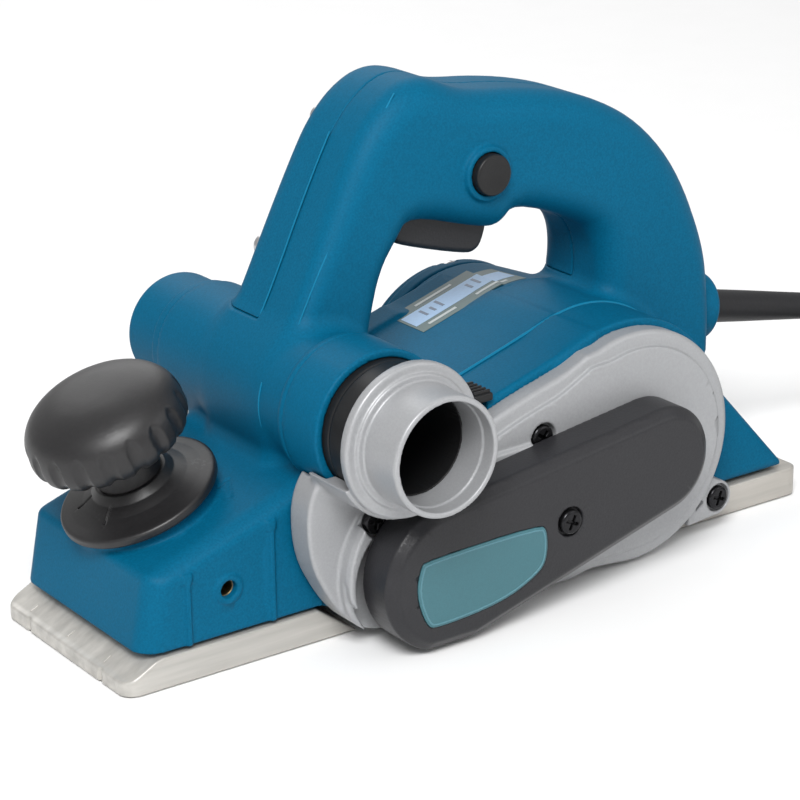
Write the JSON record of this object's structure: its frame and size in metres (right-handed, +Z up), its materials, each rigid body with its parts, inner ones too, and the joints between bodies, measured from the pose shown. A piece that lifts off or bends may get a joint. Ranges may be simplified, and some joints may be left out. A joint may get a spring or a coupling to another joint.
{
  "type": "electric hand planer",
  "caption": "Corded electric hand planer with a belt-driven cutter drum, depth knob, loop handle with trigger, chip outlet and a coiled mains lead.",
  "frame": {"origin": "middle of the rear sole's flat face, straight below the motor", "axes": "-X points to the front shoe and knob, -Y to the belt side with the chip nozzle, +Z up from the sole"},
  "size_m": [0.4515, 0.1788, 0.177],
  "materials": {
    "blue_shell": "satin, fine speckle",
    "grey_casting": "painted casting, satin",
    "black_plastic": "satin",
    "grey_plastic": "satin",
    "black_screw": "blackened steel",
    "steel": "turned or zinc plated",
    "base_metal": "milled, brushed",
    "blade_steel": "ground",
    "label_foil": "printed foil, blank bands",
    "badge_foil": "foil with a plain border",
    "brass": "turned",
    "copper": "enamelled wire and turned bars",
    "carbon": "pressed carbon",
    "black_rubber": "matt"
  },
  "bodies": {
    "body": {"main_housing": "blue_shell", "front_housing": "blue_shell", "duct_housing": "blue_shell", "handle_left": "blue_shell", "drive_frame": "blue_shell", "handle_cover": "blue_shell", "duct_cap": "blue_shell", "motor_cap": "blue_shell", "side_cover": "grey_casting", "duct_sleeve": "black_plastic", "belt_cover": "black_plastic", "belt_cover_badge": "badge_foil", "belt_cover_screw": "black_screw", "side_cover_screws": "black_screw", "handle_screws": "steel", "motor_cap_screws": "steel", "rear_base": "base_metal", "base_screws": "steel", "rating_label": "label_foil", "fence_insert": "brass", "stator_core": "steel", "stator_coils": "copper", "brush_holders": "brass", "carbon_brushes": "carbon", "brush_caps": "black_plastic", "motor_bearings": "steel", "drum_bearings": "steel", "switch_body": "black_plastic", "cord_guard": "black_rubber", "drive_belt": "black_rubber", "shoe_spring": "steel", "trigger_spring": "steel", "lock_spring": "steel", "cord_lead": "black_rubber", "cord_coil": "black_rubber", "cord_tail": "black_rubber", "cord_tie": "black_rubber", "plug": "black_rubber"},
    "drum": {"drum_body": "base_metal", "drum_blades": "blade_steel", "blade_clamps": "steel", "clamp_bolts": "steel", "drum_shaft": "steel", "drum_pulley": "black_plastic", "drum_pulley_nut": "steel"},
    "armature": {"armature_shaft": "steel", "armature_core": "steel", "armature_windings": "copper", "commutator": "copper", "fan": "black_plastic", "motor_pulley": "black_plastic", "motor_pulley_nut": "steel"},
    "front_shoe": {"front_shoe": "base_metal", "shoe_post": "steel"},
    "depth_knob": {"depth_knob": "black_plastic", "scale_ring": "black_plastic", "depth_screw": "steel"},
    "trigger": {"trigger": "grey_plastic"},
    "lock_button": {"lock_button": "black_plastic"},
    "chip_selector": {"chip_selector": "black_plastic"}
  },
  "joints": [
    {"name": "drum_spin", "type": "hinge", "parent": "body", "child": "drum", "pos_m": [-0.097, 0, 0.0235], "axis": [0, 1, 0], "continuous": true},
    {"name": "armature_spin", "type": "hinge", "parent": "body", "child": "armature", "pos_m": [-0.001, 0, 0.0445], "axis": [0, 1, 0], "continuous": true},
    {"name": "knob_turn", "type": "hinge", "parent": "body", "child": "depth_knob", "pos_m": [-0.166, 0, 0.049], "axis": [0.3907, 0, -0.9205], "range_deg": [0, 313]},
    {"name": "shoe_lift", "type": "slide", "parent": "body", "child": "front_shoe", "axis": [-0.3907, 0, 0.9205], "range_m": [0, 0.00109]},
    {"name": "trigger_pull", "type": "hinge", "parent": "body", "child": "trigger", "pos_m": [-0.065, 0, 0.1315], "axis": [0, -1, 0], "range_deg": [0, 7], "stiffness_Nm_per_rad": 1, "springref_deg": -2.86, "deforming": ["trigger_spring"]},
    {"name": "lock_press", "type": "slide", "parent": "body", "child": "lock_button", "axis": [0, 1, 0], "range_m": [0, 0.003], "stiffness_N_per_m": 400, "springref_m": -0.002},
    {"name": "chip_select", "type": "slide", "parent": "body", "child": "chip_selector", "axis": [0, 1, 0], "range_m": [0, 0.01]}
  ],
  "couplings": [
    {"joint": "armature_spin", "follows": "drum_spin", "ratio": 1.5455},
    {"joint": "knob_turn", "follows": "shoe_lift", "rad_per_m": 5026.6}
  ]
}
